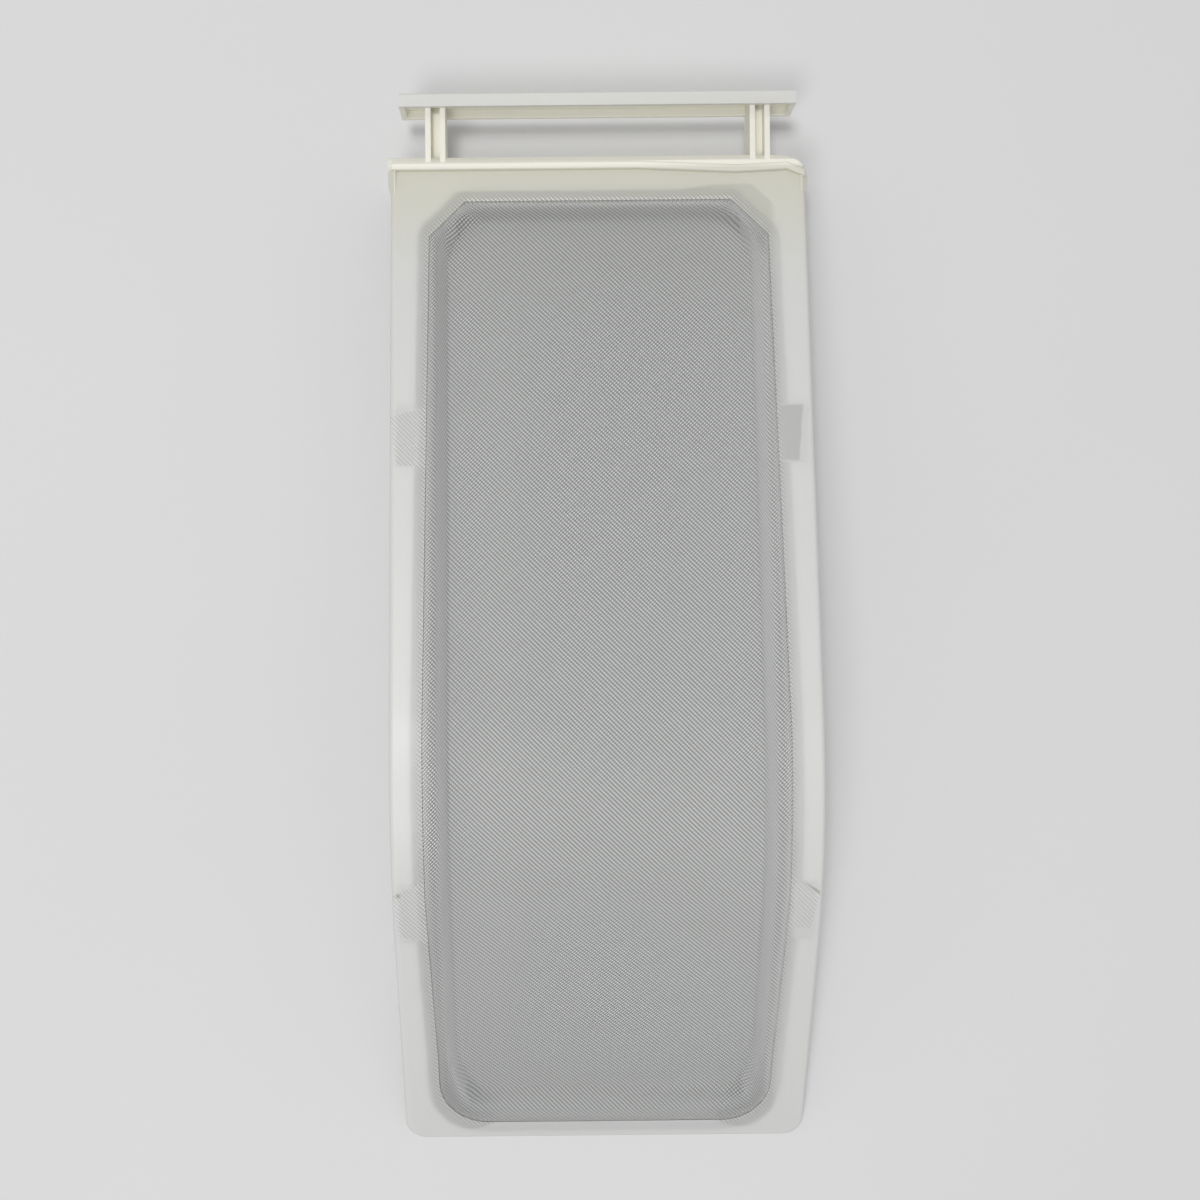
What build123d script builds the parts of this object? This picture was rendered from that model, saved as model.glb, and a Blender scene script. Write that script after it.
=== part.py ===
from build123d import *
import os
from math import atan2, cos, degrees, hypot, radians, sin, tan

os.makedirs("parts", exist_ok=True)

# Tumble dryer lint filter: a bent, moulded frame round a dished screen of woven wire cloth.
# X runs across, Y along with the grip at +Y, Z up from the surface that the filter lies on.

# Overall form, in millimetres and degrees
overall_length = 352.6
frame_width = 136.8
rise_angle = 9.0
drop_angle = 28.5
bend_radius = 115.0
bend_from_toe = 110.9

# Section of the frame's strips
rim_depth = 4.5
web_thickness = 2.4
skirt_thickness = 2.0
lip_thickness = 2.0
edge_round = 1.6
toe_corner_radius = 7.0

# Opening for the screen
top_strip = 10.4
toe_strip = 6.2
upper_opening_width = 111.6
middle_opening_width = 116.0
lower_opening_width = 112.4
widening_start = 14.0
widening_length = 160.0
narrowing_start = 86.0
narrowing_length = 60.0
top_corner_cut = 12.0
toe_opening_radius = 16.0

# End plate with the rim that closes the slot, and the grip on it
plate_width = 138.6
plate_thickness = 2.4
plate_rim_depth = 2.2
plate_rim_width = 3.0
plate_rise = 1.4
plate_bevel = 2.0
return_length = 8.0
return_overlap = 1.7
return_height = 5.4
return_taper = 2.6
finger_gap = 16.0
bar_length = 130.8
bar_depth = 4.4
bar_height = 15.4
bar_wall = 1.8
bar_round = 0.6
bar_above_bead = 0.8
post_spacing = 107.0
post_width = 6.6
post_rib = 1.8
post_web = 2.0

# Bead on the plate, bowed and hooked near its +X end, where the plate's corner has worn round
bead_width = 2.4
bead_height = 0.8
bead_round = 0.6
bow_from_end = 56.0
bow_deepest_from_end = 24.0
bow_depth = 1.5
hook_from_end = 7.0
hook_depth = 3.2
worn_across = 12.0
worn_along = 8.4

# Screen of woven wire, pressed into a dish
cloth_thickness = 0.6
cloth_clearance = 0.1
border_width = 3.4
ear_length = 18.8
ear_span = 131.6
upper_ear_from_end = 79.5
lower_ear_from_toe = 76.8
dish_depth = 5.5
wall_run = 3.4
dish_rim_width = 107.2
top_margin = 1.2
toe_margin = 4.6
dish_top_radius = 21.0
dish_toe_radius = 16.0
gap_pitch_across = 19.6
gap_pitch_along = 22.4
strand_width = 2.4
strand_ridge = 1.2
ridge_height = 0.35

# Places worked out from the sizes
half_length = overall_length / 2
rise = radians(rise_angle)
drop = radians(drop_angle)
half_turn = (rise + drop) / 2
lean = (rise - drop) / 2
plate_back = half_length - bar_depth - finger_gap
plate_front = plate_back - plate_rim_depth - plate_thickness
bend_y = bend_from_toe - half_length
bend_z = rim_depth / cos(drop) + bend_from_toe * tan(drop)
plate_join_z = bend_z - (plate_front - bend_y) * tan(rise)
plate_height = plate_join_z + plate_rise
headroom = bend_z + rim_depth
cloth_depth = (web_thickness - cloth_thickness) / 2
opening_top = plate_front - top_strip
opening_toe = toe_strip - half_length
plate_end = plate_width / 2
bead_end = plate_end - plate_bevel / 2

# Unit vectors in the side view (Y, Z): along each run away from the bend, and square to it
upper_run = Vector(cos(rise), -sin(rise))
upper_normal = Vector(sin(rise), cos(rise))
lower_run = Vector(-cos(drop), -sin(drop))
lower_normal = Vector(-sin(drop), cos(drop))


def bend_point(depth):
    """Where the two runs would meet, for a line that lies depth below the top surface."""
    return Vector(bend_y, bend_z) - Vector(sin(lean), cos(lean)) * (depth / cos(half_turn))


def upper_point(depth, y):
    """Point of the upper run at that depth and that Y."""
    corner = bend_point(depth)
    return corner + upper_run * ((y - corner.X) / upper_run.X)


def lower_point(depth, y):
    """Point of the lower run at that depth and that Y."""
    corner = bend_point(depth)
    return corner + lower_run * ((y - corner.X) / lower_run.X)


def bent_band(depth_from, depth_to, top_ends, bottom_ends):
    """Side-view face between two depths, each line running from an upper point to a lower point."""
    with BuildSketch(Plane.YZ) as band:
        with BuildLine():
            above = FilletPolyline(
                top_ends[0], bend_point(depth_from), top_ends[1], radius=bend_radius - depth_from
            )
            below = FilletPolyline(
                bottom_ends[0], bend_point(depth_to), bottom_ends[1], radius=bend_radius - depth_to
            )
            Line(above @ 0, below @ 0)
            Line(above @ 1, below @ 1)
        make_face()
    return band.sketch


def layer(depth_from, depth_to):
    """Side-view face of one layer of the frame, past the end plate and past the toe."""
    far_end = plate_front + plate_thickness
    far_toe = -half_length - rim_depth
    return bent_band(
        depth_from,
        depth_to,
        (upper_point(depth_from, far_end), lower_point(depth_from, far_toe)),
        (upper_point(depth_to, far_end), lower_point(depth_to, far_toe)),
    )


# Plan outlines

with BuildSketch() as frame_outline:
    with BuildLine():
        Polyline(
            (-frame_width / 2, plate_front + plate_thickness / 2),
            (frame_width / 2, plate_front + plate_thickness / 2),
            (frame_width / 2, -half_length),
            (-frame_width / 2, -half_length),
            close=True,
        )
    make_face()
    fillet(frame_outline.vertices().group_by(Axis.Y)[0], toe_corner_radius)

with BuildSketch() as opening_outline:
    widening_y = opening_top - widening_start
    narrowing_y = opening_toe + narrowing_start
    with BuildLine() as half_opening:
        Polyline(
            (0, opening_top),
            (upper_opening_width / 2, opening_top),
            (upper_opening_width / 2, widening_y),
            (middle_opening_width / 2, widening_y - widening_length),
            (middle_opening_width / 2, narrowing_y),
            (lower_opening_width / 2, narrowing_y - narrowing_length),
            (lower_opening_width / 2, opening_toe),
            (0, opening_toe),
        )
        mirror(about=Plane.YZ)
    make_face()
    top_corners = opening_outline.vertices().group_by(Axis.Y)[-1].sort_by(Axis.X)
    chamfer([top_corners[0], top_corners[-1]], top_corner_cut)
    toe_corners = opening_outline.vertices().group_by(Axis.Y)[0].sort_by(Axis.X)
    fillet([toe_corners[0], toe_corners[-1]], toe_opening_radius)

upper_ear_y = plate_front - upper_ear_from_end - ear_length / 2
lower_ear_y = lower_ear_from_toe - half_length + ear_length / 2

with BuildSketch() as border_outline:
    add(opening_outline.sketch)
    offset(amount=border_width)
    with Locations((0, upper_ear_y), (0, lower_ear_y)):
        Rectangle(ear_span, ear_length)


# Ends of the dish's rim, and of its floor, in the side view
rim_end = upper_point(cloth_depth, opening_top - top_margin)
rim_toe = lower_point(cloth_depth, opening_toe + toe_margin)
floor_end = rim_end - upper_normal * dish_depth - upper_run * wall_run
floor_toe = rim_toe - lower_normal * dish_depth - lower_run * wall_run


def dish(growth, above):
    """Hollow of the pressed dish from above its rim, its floor and walls moved outwards by growth."""
    slope = wall_run / dish_depth
    shift = growth * Vector(wall_run, dish_depth).length / dish_depth
    below = dish_depth + growth
    def end_point(run, normal, rim, height):
        return rim + normal * height + run * (shift + slope * height)

    with BuildLine() as spine:
        FilletPolyline(
            Plane.YZ.from_local_coords(upper_point(cloth_depth, plate_back)),
            Plane.YZ.from_local_coords(bend_point(cloth_depth)),
            Plane.YZ.from_local_coords(lower_point(cloth_depth, -half_length)),
            radius=bend_radius - cloth_depth,
        )
    section = Plane(origin=spine.line @ 0, x_dir=(1, 0, 0), z_dir=spine.line % 0)
    with BuildPart() as hollow:
        with BuildSketch(section):
            half_rim = dish_rim_width / 2 + shift
            with BuildLine():
                Polyline(
                    (-half_rim - slope * above, above),
                    (half_rim + slope * above, above),
                    (half_rim - slope * below, -below),
                    (-half_rim + slope * below, -below),
                    close=True,
                )
            make_face()
        sweep(path=spine.line)
        side_view = bent_band(
            cloth_depth - above,
            cloth_depth + below,
            (
                end_point(upper_run, upper_normal, rim_end, above),
                end_point(lower_run, lower_normal, rim_toe, above),
            ),
            (
                end_point(upper_run, upper_normal, rim_end, -below),
                end_point(lower_run, lower_normal, rim_toe, -below),
            ),
        )
        extrude(side_view, amount=frame_width, both=True, mode=Mode.INTERSECT)
        slanted = hollow.edges().filter_by(GeomType.LINE)
        slanted = slanted.filter_by(lambda edge: 0.1 < abs((edge % 0).X) < 0.9).sort_by(Axis.Y)
        fillet(slanted[:2], dish_toe_radius + growth)
        slanted = hollow.edges().filter_by(GeomType.LINE)
        slanted = slanted.filter_by(lambda edge: 0.1 < abs((edge % 0).X) < 0.9).sort_by(Axis.Y)
        fillet(slanted[-2:], dish_top_radius + growth)
    return hollow.part


# Frame: one moulding of bent strips, end plate, posts and grip bar

with BuildPart() as underside_channel:
    extrude(layer(web_thickness, 2 * rim_depth), amount=frame_width, both=True)
    with BuildSketch():
        add(frame_outline.sketch)
        offset(amount=-skirt_thickness)
        with BuildSketch(mode=Mode.SUBTRACT):
            add(opening_outline.sketch)
            offset(amount=lip_thickness)
    extrude(amount=headroom, mode=Mode.INTERSECT)

with BuildPart() as border_groove:
    groove_from = cloth_depth - cloth_clearance
    groove_to = cloth_depth + cloth_thickness + cloth_clearance
    extrude(layer(groove_from, groove_to), amount=frame_width, both=True)
    with BuildSketch():
        add(border_outline.sketch)
        offset(amount=cloth_clearance)
    extrude(amount=headroom, mode=Mode.INTERSECT)

# End plate: it stands on its foot and has a bevelled top, a return down each side, and a shallow rim
# round its outer face

with BuildSketch(Plane.XY.offset(plate_height)) as plate_plan:
    return_end = plate_front - return_length
    return_side = min(plate_end, frame_width / 2)
    with BuildLine():
        Polyline(
            (0, plate_back),
            (plate_end, plate_back),
            (plate_end, return_end + return_taper),
            (return_side, return_end),
            (return_side - return_overlap, return_end),
            (return_side - return_overlap, plate_front),
            (0, plate_front),
        )
        mirror(about=Plane.YZ)
    make_face()


def bead_edge(y):
    """One long edge of the bead: straight from its -X end, then bowed and hooked towards the screen."""
    return Polyline(
        (-bead_end, y),
        (plate_end - bow_from_end, y),
        (plate_end - bow_deepest_from_end, y - bow_depth),
        (plate_end - hook_from_end, y - bow_depth / 2),
        (bead_end, y - hook_depth),
    )


with BuildSketch(Plane.XY.offset(plate_height + bead_height)) as bead:
    with BuildLine():
        bead_front = bead_edge(plate_front)
        bead_back = bead_edge(plate_front + bead_width)
        Line(bead_front @ 0, bead_back @ 0)
        Line(bead_front @ 1, bead_back @ 1)
    make_face()

with BuildSketch() as worn_corner:
    with Locations((plate_end - worn_across / 2, plate_back - worn_along / 2)):
        Rectangle(worn_across, worn_along)
    with Locations((plate_end - worn_across, plate_back - worn_along)):
        Ellipse(worn_across, worn_along, mode=Mode.SUBTRACT)

with BuildPart() as end_plate:
    extrude(plate_plan.sketch, amount=-return_height)
    top_edges = end_plate.faces().sort_by(Axis.Z)[-1].edges()
    top_ends = top_edges.filter_by(Axis.Y).group_by(Axis.X)
    chamfer(top_ends[0] + top_ends[-1] + top_edges.group_by(Axis.Y)[-1], plate_bevel)
    with BuildSketch():
        with Locations((0, (plate_front + plate_back) / 2)):
            Rectangle(plate_width, plate_back - plate_front)
    extrude(amount=plate_height - return_height)
    with BuildSketch(Plane.XZ.offset(-plate_back)):
        with Locations((0, plate_height / 2)):
            Rectangle(plate_width - 2 * plate_rim_width, plate_height - 2 * plate_rim_width)
    extrude(amount=plate_rim_depth, mode=Mode.SUBTRACT)
    extrude(bead.sketch, amount=-(bead_height + plate_rise + web_thickness / 2))
    fillet(end_plate.faces().sort_by(Axis.Z)[-1].edges(), bead_round)
    extrude(worn_corner.sketch, amount=headroom, mode=Mode.SUBTRACT)

bar_top = plate_height + bead_height + bar_above_bead
bar_bottom = bar_top - bar_height
bar_front = plate_back + finger_gap

with BuildPart() as frame:
    extrude(layer(0, rim_depth), amount=frame_width, both=True)
    extrude(frame_outline.sketch, amount=headroom, mode=Mode.INTERSECT)
    tops = frame.faces().filter_by(lambda face: face.normal_at(face.center()).Z > 0.5)
    walls = frame.faces().filter_by(lambda face: abs(face.normal_at(face.center()).Z) < 0.01)
    wall_edges = walls.sort_by(Axis.Y)[:-1].edges()
    fillet([edge for edge in tops.edges() if edge in wall_edges], edge_round)
    add(underside_channel.part, mode=Mode.SUBTRACT)
    extrude(opening_outline.sketch, amount=headroom, mode=Mode.SUBTRACT)
    add(border_groove.part, mode=Mode.SUBTRACT)
    add(end_plate.part)

    # Grip bar of channel section, open towards the plate
    with BuildSketch(Plane.XZ.offset(-bar_front)):
        with Locations((0, (bar_top + bar_bottom) / 2)):
            Rectangle(bar_length, bar_height)
    extrude(amount=-bar_depth)
    fillet(frame.faces().sort_by(Axis.Y)[-1].edges(), bar_round)
    with BuildSketch(Plane.XZ.offset(-bar_front)):
        with Locations((0, (bar_top + bar_bottom) / 2)):
            Rectangle(bar_length - 2 * bar_wall, bar_height - 2 * bar_wall)
    extrude(amount=-(bar_depth - bar_wall), mode=Mode.SUBTRACT)

    # Two posts, each a pair of ribs joined by a web
    post_from = plate_front + plate_thickness
    post_to = half_length - bar_wall
    post_middle = bar_bottom + (bar_height - bar_wall) / 2
    with BuildSketch(Plane.XZ.offset(-post_from)):
        with Locations((-post_spacing / 2, post_middle), (post_spacing / 2, post_middle)):
            Rectangle(post_width, bar_height - bar_wall)
            Rectangle(post_width - 2 * post_rib, bar_height - bar_wall, mode=Mode.SUBTRACT)
            Rectangle(post_width, post_web)
    extrude(amount=-(post_to - post_from))

# Screen: woven cloth pressed into a dish, with a flat border and four locating ears.
# The weave is drawn coarse: diagonal strands, with diamond gaps between them.

floor_depth = cloth_depth + dish_depth
floor_width = dish_rim_width - 2 * wall_run
floor_length = floor_end.X - floor_toe.X
floor_middle = (floor_end.X + floor_toe.X) / 2
columns = int(floor_width / gap_pitch_across)
rows = int(floor_length / gap_pitch_along)
half_across = gap_pitch_across / 2
half_along = gap_pitch_along / 2
strand_angle = degrees(atan2(half_along, half_across))
strand_spacing = 2 * half_across * half_along / hypot(half_across, half_along)
gap_share = 1 - strand_width / strand_spacing

with BuildSketch() as gaps:
    for across, along in ((columns, rows), (columns - 1, rows - 1)):
        with Locations((0, floor_middle)):
            with GridLocations(gap_pitch_across, gap_pitch_along, across, along):
                Polygon(
                    (half_across * gap_share, 0),
                    (0, half_along * gap_share),
                    (-half_across * gap_share, 0),
                    (0, -half_along * gap_share),
                )


def strands(depth_from, depth_to, angle):
    """Ridges that run at that angle over the floor, between two depths."""
    strand_count = columns + rows
    with BuildPart() as ridges:
        with BuildSketch():
            with Locations(Location((0, floor_middle, 0), (0, 0, angle))):
                with GridLocations(0, strand_spacing, 1, strand_count):
                    Rectangle(2 * overall_length, strand_ridge)
            with Locations((0, floor_middle)):
                RectangleRounded(
                    floor_width - 2 * strand_ridge,
                    floor_length - 2 * strand_ridge,
                    dish_top_radius,
                    mode=Mode.INTERSECT,
                )
        extrude(amount=headroom)
        extrude(layer(depth_from, depth_to), amount=frame_width, both=True, mode=Mode.INTERSECT)
    return ridges.part


with BuildPart() as mesh_screen:
    extrude(layer(cloth_depth, cloth_depth + cloth_thickness), amount=frame_width, both=True)
    extrude(border_outline.sketch, amount=headroom, mode=Mode.INTERSECT)
    add(dish(growth=cloth_thickness, above=0))
    add(dish(growth=0, above=cloth_thickness), mode=Mode.SUBTRACT)
    add(strands(floor_depth - ridge_height, floor_depth + cloth_thickness / 2, strand_angle))
    floor_back = floor_depth + cloth_thickness
    add(strands(floor_depth + cloth_thickness / 2, floor_back + ridge_height, -strand_angle))
    extrude(gaps.sketch, amount=headroom, mode=Mode.SUBTRACT)

frame.part.label = "frame"
export_step(frame.part, "parts/frame.step")
mesh_screen.part.label = "mesh_screen"
export_step(mesh_screen.part, "parts/mesh_screen.step")
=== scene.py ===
from math import cos, hypot, pi, radians, sin, sqrt, tan

import bpy
import numpy as np
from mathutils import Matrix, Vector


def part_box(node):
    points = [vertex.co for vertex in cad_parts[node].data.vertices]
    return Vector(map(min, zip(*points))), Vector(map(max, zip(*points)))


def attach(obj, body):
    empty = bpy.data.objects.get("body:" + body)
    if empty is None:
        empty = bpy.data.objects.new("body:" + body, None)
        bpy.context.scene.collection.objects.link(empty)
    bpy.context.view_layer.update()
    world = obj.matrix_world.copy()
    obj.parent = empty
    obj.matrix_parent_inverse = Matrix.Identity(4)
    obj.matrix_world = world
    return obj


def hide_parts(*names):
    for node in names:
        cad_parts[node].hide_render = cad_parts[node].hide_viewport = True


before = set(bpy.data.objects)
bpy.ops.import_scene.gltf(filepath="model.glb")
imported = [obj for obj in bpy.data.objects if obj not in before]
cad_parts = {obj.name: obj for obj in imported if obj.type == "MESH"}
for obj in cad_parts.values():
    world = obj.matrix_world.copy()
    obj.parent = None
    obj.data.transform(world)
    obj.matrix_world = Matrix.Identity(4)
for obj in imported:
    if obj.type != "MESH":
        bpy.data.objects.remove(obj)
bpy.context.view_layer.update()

# Moulded frame
# One bent moulding of natural polypropylene: side strips, end plate, two ribbed posts and a channel grip.
# It is moulded round the border of the wire cloth, which shows through the milky plastic as a grey band.


class Field:
    """A number that varies over a surface. Arithmetic on it adds Math nodes to its finish."""

    def __init__(self, finish, socket):
        self.finish = finish
        self.socket = socket

    def __add__(self, other):
        return self.finish.math("ADD", self, other)

    __radd__ = __add__

    def __sub__(self, other):
        return self.finish.math("SUBTRACT", self, other)

    def __rsub__(self, other):
        return self.finish.math("SUBTRACT", other, self)

    def __mul__(self, other):
        return self.finish.math("MULTIPLY", self, other)

    __rmul__ = __mul__

    def __abs__(self):
        return self.finish.math("ABSOLUTE", self)


class Finish:
    """A material in the making, with one method that adds any node."""

    def __init__(self, name):
        self.material = bpy.data.materials.new(name)
        self.material.use_nodes = True
        self.tree = self.material.node_tree
        self.surface = self.tree.nodes["Principled BSDF"]

    def add(self, kind, settings, inputs, output=0):
        node = self.tree.nodes.new(kind)
        for name, value in settings.items():
            setattr(node, name, value)
        for name, value in inputs.items():
            self.feed(node.inputs[name], value)
        return Field(self, node.outputs[output])

    def feed(self, socket, value):
        if isinstance(value, Field):
            self.tree.links.new(value.socket, socket)
        else:
            socket.default_value = value

    def set(self, **inputs):
        for name, value in inputs.items():
            self.feed(self.surface.inputs[name.replace("_", " ")], value)

    def math(self, operation, *values):
        return self.add("ShaderNodeMath", {"operation": operation}, dict(enumerate(values)))

    def largest(self, first, *others):
        for other in others:
            first = self.math("MAXIMUM", first, other)
        return first

    def length(self, across, along):
        return self.math("SQRT", across * across + along * along)

    def wave(self, phase):
        return self.math("COSINE", phase)

    def ramp(self, value, start, end, kind="SMOOTHSTEP"):
        """0 before start and 1 past end."""
        span = {"Value": value, "From Min": start, "From Max": end}
        return self.add("ShaderNodeMapRange", {"interpolation_type": kind}, span)

    def parts(self, vector):
        return [self.add("ShaderNodeSeparateXYZ", {}, {0: vector}, axis) for axis in "XYZ"]

    def place(self):
        """X, Y and Z of the surface, in metres."""
        return self.parts(self.add("ShaderNodeTexCoord", {}, {}, "Object"))

    def noise(self, scale, detail):
        position = self.add("ShaderNodeTexCoord", {}, {}, "Object")
        return self.add("ShaderNodeTexNoise", {}, {"Vector": position, "Scale": scale, "Detail": detail})

    def mix(self, share, first, second):
        """Colour that goes from the first to the second with the share."""
        return self.add("ShaderNodeMix", {"data_type": "RGBA"}, {0: share, 6: first, 7: second}, 2)

    def bump(self, height, strength, distance):
        inputs = {"Height": height, "Strength": strength, "Distance": distance}
        return self.add("ShaderNodeBump", {}, inputs)


frame_low, frame_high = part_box("frame")
grip_reach = 0.025
top_strip = 0.0104
toe_strip = 0.0062
toe_y = frame_low.y
plate_front = frame_high.y - grip_reach
opening_top = plate_front - top_strip
opening_toe = toe_y + toe_strip
upper_half_opening = 0.0558
middle_half_opening = 0.0580
lower_half_opening = 0.0562
widening_start = opening_top - 0.014
widening_end = opening_top - 0.174
narrowing_start = opening_toe + 0.086
narrowing_end = opening_toe + 0.026
top_corner_cut = 0.012
toe_opening_radius = 0.016
ear_half_length = 0.0094
ear_reach = 0.0658
upper_ear_from_plate = 0.0795
lower_ear_from_toe = 0.0768
upper_ear_y = plate_front - upper_ear_from_plate - ear_half_length
lower_ear_y = toe_y + lower_ear_from_toe + ear_half_length
close_pitch = 0.00080
wide_pitch = 0.00109
diagonal = sqrt(0.5)

milky = Finish("milky_polypropylene")
x, y, z = milky.place()
across = abs(x)
on_right = milky.ramp(x, -0.001, 0.001)
mottle = milky.noise(35.0, 3.0)
wobble_size = 0.0012
wobble = (milky.noise(110.0, 2.0) - 0.5) * wobble_size

# How far past each edge of the opening a point lies
widened = milky.ramp(y, widening_start, widening_end, "LINEAR")
narrowed = milky.ramp(y, narrowing_start, narrowing_end, "LINEAR")
half_opening = (
    upper_half_opening
    + (middle_half_opening - upper_half_opening) * widened
    - (middle_half_opening - lower_half_opening) * narrowed
)
past_side = across - half_opening + wobble
past_top = y - opening_top + wobble
past_toe = opening_toe - y + wobble
past_cut = (past_side + past_top + top_corner_cut) * diagonal
round_side = milky.largest(past_side + toe_opening_radius, 0.0)
round_toe = milky.largest(past_toe + toe_opening_radius, 0.0)
past_corner = milky.length(round_side, round_toe) - toe_opening_radius

# The cloth's border fades out along the sides, and ends at a soft line at the top, the toe and the corners
ragged_reach = 0.0016
wedge_reach = 0.0028
ragged = milky.ramp(x, 0.025, 0.040) * ragged_reach
side_border = 1 - milky.ramp(past_side, 0.0006 - 0.0008 * on_right, 0.0052 - 0.0020 * on_right)
top_border = 1 - milky.ramp(past_top, 0.0026 + ragged, 0.0040 + ragged)
cut_border = 1 - milky.ramp(past_cut, 0.0036 + 0.0040 * on_right, 0.0056 + 0.0034 * on_right)
corner_border = 1 - milky.ramp(past_corner, 0.0036, 0.0056)
toe_reach = milky.ramp(across, 0.036, 0.046) * wedge_reach
toe_border = 1 - milky.ramp(past_toe, toe_reach - 0.0008, toe_reach + 0.0006)
border = side_border * top_border * cut_border * corner_border * toe_border
smooth_top = milky.ramp(past_top, 0.0004, 0.0030)
smooth_cut = milky.ramp(past_cut, 0.0004, 0.0034)
smooth_corner = milky.ramp(past_corner, 0.0004, 0.0026)
clear_border = border * (1 - milky.largest(smooth_top, smooth_cut, smooth_corner))

# Four locating ears: side, middle, half length, taper, slant, reach, how much they show and how clear
# the weave is in them
ear_root = 0.061
ear_inner_end = 0.05
ears = 0.0
clear_ears = 0.0
for side, middle_y, half_length, taper, slant, reach, shade, clearness in (
    (-1, upper_ear_y - 0.0008, 0.0094, 0.20, 0.10, 0.0675, 0.50, 0.9),
    (1, upper_ear_y + 0.0002, 0.0091, 0.00, 0.00, 0.0642, 0.80, 0.0),
    (-1, lower_ear_y, 0.0096, 0.36, 0.08, 0.0676, 0.46, 1.0),
    (1, lower_ear_y + 0.0020, 0.0083, 0.35, 0.35, 0.0668, 0.36, 0.9),
):
    outward = x * side
    past_root = outward - ear_root
    past_end = abs(y - middle_y + past_root * slant) + past_root * taper - half_length
    past_tip = outward - reach - (y - middle_y) * (0.10 + 0.3 * slant)
    past_ear = milky.largest(past_end, past_tip, ear_inner_end - outward) + wobble
    mark = 1 - milky.ramp(past_ear, -0.0006, 0.0004)
    ears = milky.largest(ears, mark * shade)
    clear_ears = milky.largest(clear_ears, mark * clearness)

close_lines = milky.wave((y - x) * (diagonal * 2 * pi / close_pitch))
wide_lines = milky.wave((y + x) * (diagonal * 2 * pi / wide_pitch))
weave = 0.45 * close_lines + 0.55 * wide_lines
shown_weave = weave * milky.largest(clear_border, clear_ears)

# Dirt caught at the lower ears: a spot at the tip on the left and a streak along the top edge on the right
spot_x, spot_y = -0.0664, lower_ear_y + 0.0062
streak_y, streak_slope = lower_ear_y + 0.0104, 0.70
dirt_spot = 1 - milky.ramp(milky.length(x - spot_x, y - spot_y), 0.0003, 0.0012)
off_streak = abs(y - streak_y + (x - ear_root) * streak_slope)
dirt_streak = (1 - milky.ramp(off_streak, 0.0002, 0.0008)) * milky.ramp(x, 0.0600, 0.0665)
dirt = milky.largest(dirt_spot, dirt_streak * (1 - milky.ramp(x, 0.0670, 0.0676)))

# Colour: cream towards the end plate, painted light in the thin walls there for light shining through them,
# and painted light over the ears' pockets that cancels the shade they cast through the plastic
bar_face = milky.ramp(y, 0.166, 0.170) * milky.ramp(z, 0.0310, 0.0335)
cream = milky.ramp(y, 0.108, 0.150) * (1 - 0.8 * bar_face)
plain = milky.mix(cream, (0.66, 0.66, 0.645, 1), (0.64, 0.63, 0.545, 1))
# Painted light: the bead and bevel of the plate, the posts and the grip, all but the grip's top face, are
# lightened to stand in for light shining through the milky plastic
thin_wall_glow = milky.ramp(y, 0.1508, 0.1530) * (1 - bar_face)
plain = milky.mix(0.85 * thin_wall_glow, plain, (0.93, 0.91, 0.79, 1))
# Painted light over the ears' pockets: lightened to cancel the shade that the pockets cast through the milky
# plastic
from_ear = milky.math("MINIMUM", abs(y - upper_ear_y), abs(y - lower_ear_y))
past_pocket = milky.largest(from_ear - ear_half_length, across - ear_reach)
pocket_lightening = 1 - milky.ramp(past_pocket, -0.0004, 0.0004)
plain = milky.mix(0.45 * pocket_lightening, plain, (0.82, 0.82, 0.80, 1))
lit_weave = milky.mix(cream, (0.74, 0.745, 0.72, 1), (0.73, 0.73, 0.645, 1))
dim_weave = milky.mix(cream, (0.31, 0.313, 0.296, 1), (0.34, 0.34, 0.29, 1))

# The cloth as it shows through, with bright dashes in the ears, dirt, and a row of painted highlight at the
# top edge
through = milky.mix(0.5 + 0.5 * shown_weave, dim_weave, lit_weave)
shown = milky.mix(milky.largest(0.92 * border, ears), plain, through)
shown = milky.mix(0.36 * clear_ears * milky.ramp(weave, 0.0, 0.6), shown, (0.95, 0.955, 0.94, 1))
shown = milky.mix(0.75 * dirt, shown, (0.34, 0.34, 0.28, 1))
# Painted highlight: a dotted pale row along the top edge of the opening, for the plastic's flash round the
# wires and their gleam where they leave it
in_row = (1 - milky.ramp(past_top, 0.0006, 0.0012)) * milky.ramp(past_top, -0.0006, -0.0002)
edge_highlight = border * in_row * (1 - milky.ramp(past_cut, -0.0004, 0.0004))
shown = milky.mix(0.8 * edge_highlight * milky.ramp(weave, -0.1, 0.4), shown, (0.88, 0.88, 0.84, 1))
milky.set(
    Base_Color=shown,
    Roughness=0.36 + 0.10 * mottle,
    Normal=milky.bump(mottle + 0.2 * shown_weave, 0.15, 0.0006),
    Subsurface_Weight=0.35,
    Subsurface_Radius=(0.010, 0.010, 0.009),
    Subsurface_Scale=1.0,
    IOR=1.49,
)
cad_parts["frame"].data.materials.clear()
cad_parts["frame"].data.materials.append(milky.material)

# Woven wire cloth
# Fine steel wire in two diagonal runs, woven flat and then pressed into a shallow dish along the bend.
# Its border and four locating ears are caught in the plastic when the frame is moulded.

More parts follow.
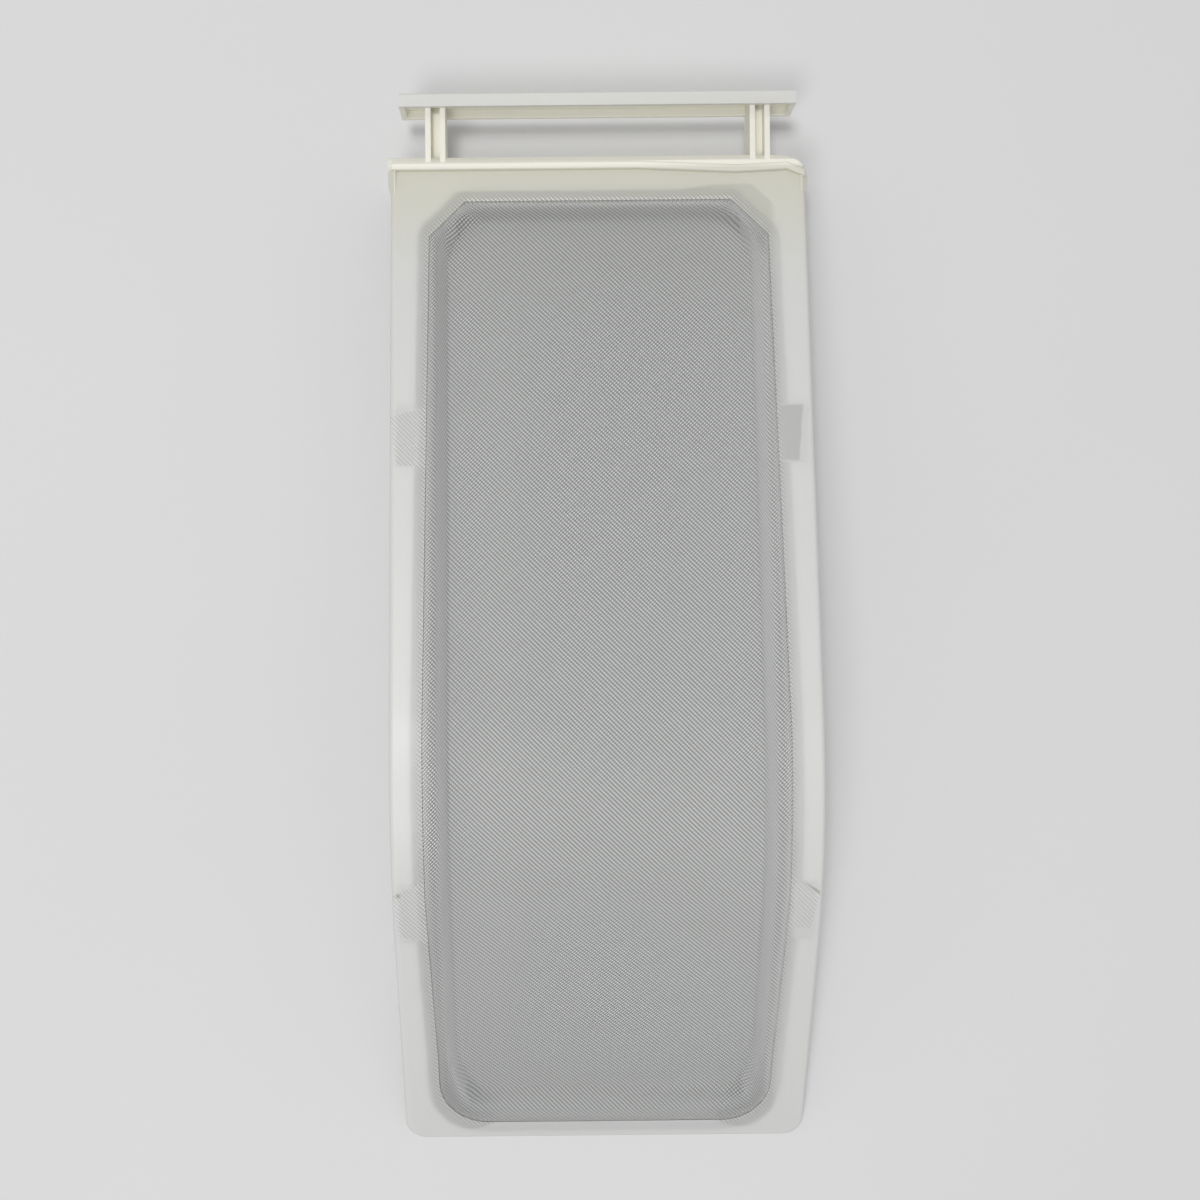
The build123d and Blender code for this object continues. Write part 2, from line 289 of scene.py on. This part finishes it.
wire_radius = 0.00018
cloth_reach = 0.0590
border_reach = 0.0030
rise = radians(9.0)
drop = radians(28.5)
bend_radius = 0.115
bend_from_toe = 0.1109
rim_depth = 0.0045
cloth_depth = 0.0012
rim_lift = 0.0006
rim_slope = 0.0006
toe_wall_stretch = 1.3
bright_rim = 0.0026
dish_depth = 0.0055
dish_half_width = 0.0536
wall_run = 0.0034
dish_top = opening_top - 0.0012
dish_toe = opening_toe + 0.0046
top_wall_run = wall_run * cos(rise) + dish_depth * sin(rise)
toe_wall_run = toe_wall_stretch * (wall_run * cos(drop) + dish_depth * sin(drop))
dish_top_radius = 0.0175
dish_toe_radius = 0.0136

half_turn = (rise + drop) / 2
lean = (rise - drop) / 2
bend_z = rim_depth / cos(drop) + bend_from_toe * tan(drop)
centre_y = toe_y + bend_from_toe - sin(lean) * bend_radius / cos(half_turn)
centre_z = bend_z - cos(lean) * bend_radius / cos(half_turn)


def bent_height(y, depth):
    """Height of a sheet that follows the bend at that depth below the top of the frame."""
    radius = bend_radius - depth
    upper_y = centre_y + radius * sin(rise)
    lower_y = centre_y - radius * sin(drop)
    if y > upper_y:
        return centre_z + radius * cos(rise) - (y - upper_y) * tan(rise)
    if y < lower_y:
        return centre_z + radius * cos(drop) - (lower_y - y) * tan(drop)
    return centre_z + sqrt(radius**2 - (y - centre_y) ** 2)


def inside_opening(x, y):
    """How far a point of the plan lies inside the edge of the frame's opening."""
    half = np.interp(y, edge_rows, edge_half_widths)
    to_cut = (half + opening_top - top_corner_cut - abs(x) - y) * diagonal
    round_side = max(toe_opening_radius - half + abs(x), 0.0)
    round_toe = max(toe_opening_radius - y + opening_toe, 0.0)
    return min(toe_opening_radius - hypot(round_side, round_toe), opening_top - y, to_cut)


def dish_share(x, y):
    """How far down the wall of the dish a point lies: 0 at the rim and 1 on the floor."""
    from_side = dish_half_width - abs(x)
    from_top = (dish_top - y) * wall_run / top_wall_run
    from_toe = (y - dish_toe) * wall_run / toe_wall_run
    from_end, corner = min((from_top, dish_top_radius), (from_toe, dish_toe_radius))
    if from_side < corner and from_end < corner:
        inside = corner - hypot(corner - from_side, corner - from_end)
    else:
        inside = min(from_side, from_end)
    return min(max(inside / wall_run, 0.0), 1.0)


def cloth_height(x, y):
    """Height of the pressed cloth: swelling up at its rim, down the walls and flat along its floor."""
    share = dish_share(x, y)
    lift = rim_lift * min(max(inside_opening(x, y) / rim_slope, 0.0), 1.0) * (1 - share)
    return bent_height(y, cloth_depth - lift + dish_depth * share * share * (3 - 2 * share))


def in_cloth(x, y):
    """Whether a point of the plan lies in the cut cloth, ears and all."""
    ear = min(abs(y - upper_ear_y), abs(y - lower_ear_y)) < ear_half_length
    if abs(x) > (ear_reach if ear else cloth_reach):
        return False
    if y > opening_top + border_reach or y < opening_toe - border_reach:
        return False
    return abs(x) + y < top_cut_line and abs(x) - y < toe_cut_line


edge_rows = [narrowing_end, narrowing_start, widening_end, widening_start]
edge_half_widths = [lower_half_opening, middle_half_opening, middle_half_opening, upper_half_opening]
top_cut_line = upper_half_opening + opening_top - top_corner_cut + border_reach / diagonal
toe_cut_line = lower_half_opening - opening_toe - toe_opening_radius / 2 + border_reach / diagonal
ear_rows = [middle + side * ear_half_length for middle in (upper_ear_y, lower_ear_y) for side in (-1, 1)]
outline_rows = [opening_top + border_reach, opening_toe - border_reach] + ear_rows

# Fold lines of the pressing, and where they lie on the cloth while it is still flat
spare_length = 0.08
spare_half_width = 0.09
bend_start = centre_y - 0.055
bend_step = 0.0125
toe_wall_shares = (0.3, 0.7, 1.0, 1.4, 1.8, 2.3, 3.0, 4.0)
top_wall_shares = (5.1, 4.2, 3.4, 2.7, 2.2, 1.8, 1.5, 1.2, 1.0, 0.7, 0.3, 0.0)
corner_shares = (0.80, 0.62, 0.50, 0.40, 0.32, 0.25)
side_wall_shares = (1.0, 0.7, 0.3, 0.0)
rim_columns = [0.0550, 0.0562, 0.0574, 0.0584]
fold_rows = [opening_toe - spare_length, opening_toe, opening_toe + rim_slope, dish_toe]
fold_rows += [dish_toe + toe_wall_run * share for share in toe_wall_shares]
fold_rows += [bend_start + bend_step * step for step in range(7)]
fold_rows += [dish_top - top_wall_run * share for share in top_wall_shares]
fold_rows += [opening_top - rim_slope, opening_top, opening_top + spare_length]
fold_columns = [0.0] + [dish_half_width - dish_top_radius * share for share in corner_shares]
fold_columns += [dish_half_width - wall_run * share for share in side_wall_shares]
fold_columns += rim_columns + [spare_half_width]
section_y = 0.05
row_steps = [
    hypot(end - start, cloth_height(0, end) - cloth_height(0, start))
    for start, end in zip(fold_rows, fold_rows[1:])
]
column_steps = [
    hypot(end - start, cloth_height(end, section_y) - cloth_height(start, section_y))
    for start, end in zip(fold_columns, fold_columns[1:])
]
flat_rows = np.concatenate(([0.0], np.cumsum(row_steps)))
flat_columns = np.concatenate(([0.0], np.cumsum(column_steps)))
flat_reach = 0.072


def wires(name, pitch, turn, layer):
    """One run of parallel wires, laid flat, folded into the dish and cut to the cloth's outline."""
    step = pitch / diagonal
    first = -int(flat_reach / step)
    bpy.ops.object.select_all(action="DESELECT")
    bpy.ops.mesh.primitive_cylinder_add(
        vertices=4,
        radius=wire_radius,
        depth=2 * flat_reach / diagonal,
        end_fill_type="NOTHING",
        rotation=(0, radians(90), radians(turn)),
        location=(0, first * step, 0),
    )
    piece = bpy.context.object
    piece.name = name
    bpy.ops.object.transform_apply(location=True, rotation=True, scale=True)
    row = piece.modifiers.new("row", "ARRAY")
    row.use_relative_offset = False
    row.use_constant_offset = True
    row.constant_offset_displace = (0, step, 0)
    row.count = int((flat_rows[-1] + flat_reach) / step) - first
    bpy.ops.object.modifier_apply(modifier=row.name)
    bpy.ops.object.mode_set(mode="EDIT")
    for line in flat_rows[1:-1]:
        bpy.ops.mesh.select_all(action="SELECT")
        bpy.ops.mesh.bisect(plane_co=(0, line, 0), plane_no=(0, 1, 0))
    for line in flat_columns[1:-1]:
        for side in (-1, 1):
            bpy.ops.mesh.select_all(action="SELECT")
            bpy.ops.mesh.bisect(plane_co=(side * line, 0, 0), plane_no=(1, 0, 0))
    bpy.ops.object.mode_set(mode="OBJECT")

    flat = np.empty(len(piece.data.vertices) * 3, dtype=np.float32)
    piece.data.vertices.foreach_get("co", flat)
    piece.data.attributes.new("flat_cloth", "FLOAT_VECTOR", "POINT").data.foreach_set("vector", flat)
    flat = flat.reshape(-1, 3)
    pressed_x = np.copysign(np.interp(abs(flat[:, 0]), flat_columns, fold_columns), flat[:, 0])
    pressed_y = np.interp(flat[:, 1], flat_rows, fold_rows)
    # Masks for the wires' painted light: steepness of the side walls of the dish and nearness to the edge of
    # the opening
    steepness = piece.data.attributes.new("steepness", "FLOAT", "POINT").data
    at_rim = piece.data.attributes.new("at_rim", "FLOAT", "POINT").data
    for index, (x, y) in enumerate(zip(pressed_x, pressed_y)):
        vertex = piece.data.vertices[index]
        vertex.co = (x, y, vertex.co.z + cloth_height(x, y) + layer * wire_radius)
        share = dish_share(x, y)
        on_side_wall = abs(x) > dish_half_width - 2 * wall_run
        steepness[index].value = 4 * share * (1 - share) if on_side_wall else 0.0
        at_rim[index].value = 1 - min(max(inside_opening(x, y) / bright_rim, 0.0), 1.0)

    bpy.ops.object.mode_set(mode="EDIT")
    for line in outline_rows:
        bpy.ops.mesh.select_all(action="SELECT")
        bpy.ops.mesh.bisect(plane_co=(0, line, 0), plane_no=(0, 1, 0))
    for side in (-1, 1):
        for line in (cloth_reach, ear_reach):
            bpy.ops.mesh.select_all(action="SELECT")
            bpy.ops.mesh.bisect(plane_co=(side * line, 0, 0), plane_no=(1, 0, 0))
        for line, way in ((top_cut_line, 1), (toe_cut_line, -1)):
            bpy.ops.mesh.select_all(action="SELECT")
            bpy.ops.mesh.bisect(plane_co=(side * line, 0, 0), plane_no=(side, way, 0))
    bpy.ops.mesh.select_all(action="DESELECT")
    bpy.ops.object.mode_set(mode="OBJECT")
    for face in piece.data.polygons:
        face.select = not in_cloth(face.center.x, face.center.y)
    bpy.ops.object.mode_set(mode="EDIT")
    bpy.ops.mesh.delete(type="FACE")
    bpy.ops.mesh.select_all(action="SELECT")
    bpy.ops.mesh.delete_loose()
    bpy.ops.mesh.select_all(action="SELECT")
    bpy.ops.mesh.fill_holes(sides=4)
    bpy.ops.mesh.select_all(action="SELECT")
    bpy.ops.mesh.normals_make_consistent(inside=False)
    bpy.ops.object.mode_set(mode="OBJECT")
    bpy.ops.object.shade_smooth()
    return piece


def wire_finish(name, way, crossing_pitch, dim, bright):
    """Drawn steel whose colour is painted light: bright between crossings, painted shade at them, lighter at
    the rim and walls.
    """
    steel = Finish(name)
    flat_cloth = steel.add("ShaderNodeAttribute", {"attribute_name": "flat_cloth"}, {}, "Vector")
    u, v = steel.parts(flat_cloth)[:2]
    steep = steel.add("ShaderNodeAttribute", {"attribute_name": "steepness"}, {}, "Fac")
    rim = steel.add("ShaderNodeAttribute", {"attribute_name": "at_rim"}, {}, "Fac")
    # Painted light and shade along each wire: bright between the crossing wires, dark at the crossings where
    # it would dive under them; the same profile feeds the bump and roughness
    lifted_and_lit = 0.5 - 0.5 * steel.wave((v + way * u) * (diagonal * 2 * pi / crossing_pitch))
    weave_light_and_shade = steel.mix(lifted_and_lit, dim, bright)
    steel.set(
        # Painted light at the rim, for the glow of the plastic beside it, and on the steep side walls,
        # lifting the shade the wires cast on each other there
        Base_Color=steel.mix(steel.largest(0.5 * steep, 0.6 * rim), weave_light_and_shade, (0.98, 0.98, 0.97, 1)),
        Metallic=0.2,
        Roughness=0.46 - 0.12 * lifted_and_lit,
        Normal=steel.bump(lifted_and_lit, 0.4, 0.00015),
    )
    return steel.material


# The close run lies over the wide one; the wide run's dark colours are painted shade beneath it
runs = [
    (
        wires("screen_wires_close", close_pitch, 45, 1),
        wire_finish("wire_over", 1, wide_pitch, (0.46, 0.47, 0.47, 1), (0.99, 0.99, 0.98, 1)),
    ),
    (
        wires("screen_wires_wide", wide_pitch, -45, -1),
        wire_finish("wire_under", -1, close_pitch, (0.17, 0.17, 0.18, 1), (0.38, 0.39, 0.39, 1)),
    ),
]
for piece, finish in runs:
    piece.data.materials.append(finish)
    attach(piece, "root")
    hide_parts("mesh_screen")

# Table
# A plain pale sheet, far larger than the view, that takes the filter's soft shadow.

bpy.ops.object.select_all(action="DESELECT")
bpy.ops.mesh.primitive_plane_add(size=8.0, location=(0, 0, 0))
table = bpy.context.object
table.name = "table"
paper = Finish("pale_paper")
paper.set(
    Base_Color=paper.mix(paper.noise(4.0, 2.0), (0.69, 0.69, 0.70, 1), (0.72, 0.72, 0.725, 1)),
    Roughness=0.8,
)
table.data.materials.append(paper.material)

# Light
# A soft box nearly overhead, a window to the front left and an even pale room.

world = bpy.data.worlds.new("pale_room")
world.use_nodes = True
world.node_tree.nodes["Background"].inputs["Color"].default_value = (1.0, 1.0, 1.0, 1)
world.node_tree.nodes["Background"].inputs["Strength"].default_value = 0.42
bpy.context.scene.world = world


def soft_box(name, place, aim, size, power):
    bpy.ops.object.light_add(type="AREA", location=place)
    lamp = bpy.context.object
    lamp.name = name
    lamp.data.shape = "DISK"
    lamp.data.size = size
    lamp.data.energy = power
    lamp.rotation_euler = (aim - lamp.location).to_track_quat("-Z", "Y").to_euler()


middle = (frame_low + frame_high) / 2
soft_box("soft_box", (-0.20, 0.20, 1.9), middle, 0.35, 13.0)
soft_box("front_window", (-0.40, -0.70, 1.8), middle, 0.6, 9.0)

# Camera
# Straight above the filter, a little to its left, with the picture shifted to hold the filter in the middle.

camera_height = 0.5715
camera_turn = -0.0099
image_field = 0.4191
film_width = 36.0
bpy.ops.object.camera_add(location=(-0.0208, 0.0094, camera_height), rotation=(0, 0, camera_turn))
camera = bpy.context.object
camera.data.sensor_width = film_width
camera.data.lens = film_width * camera_height / image_field
camera.data.shift_x = 0.0508
camera.data.clip_start = 0.01
bpy.context.scene.camera = camera
bpy.context.scene.view_settings.view_transform = "Standard"
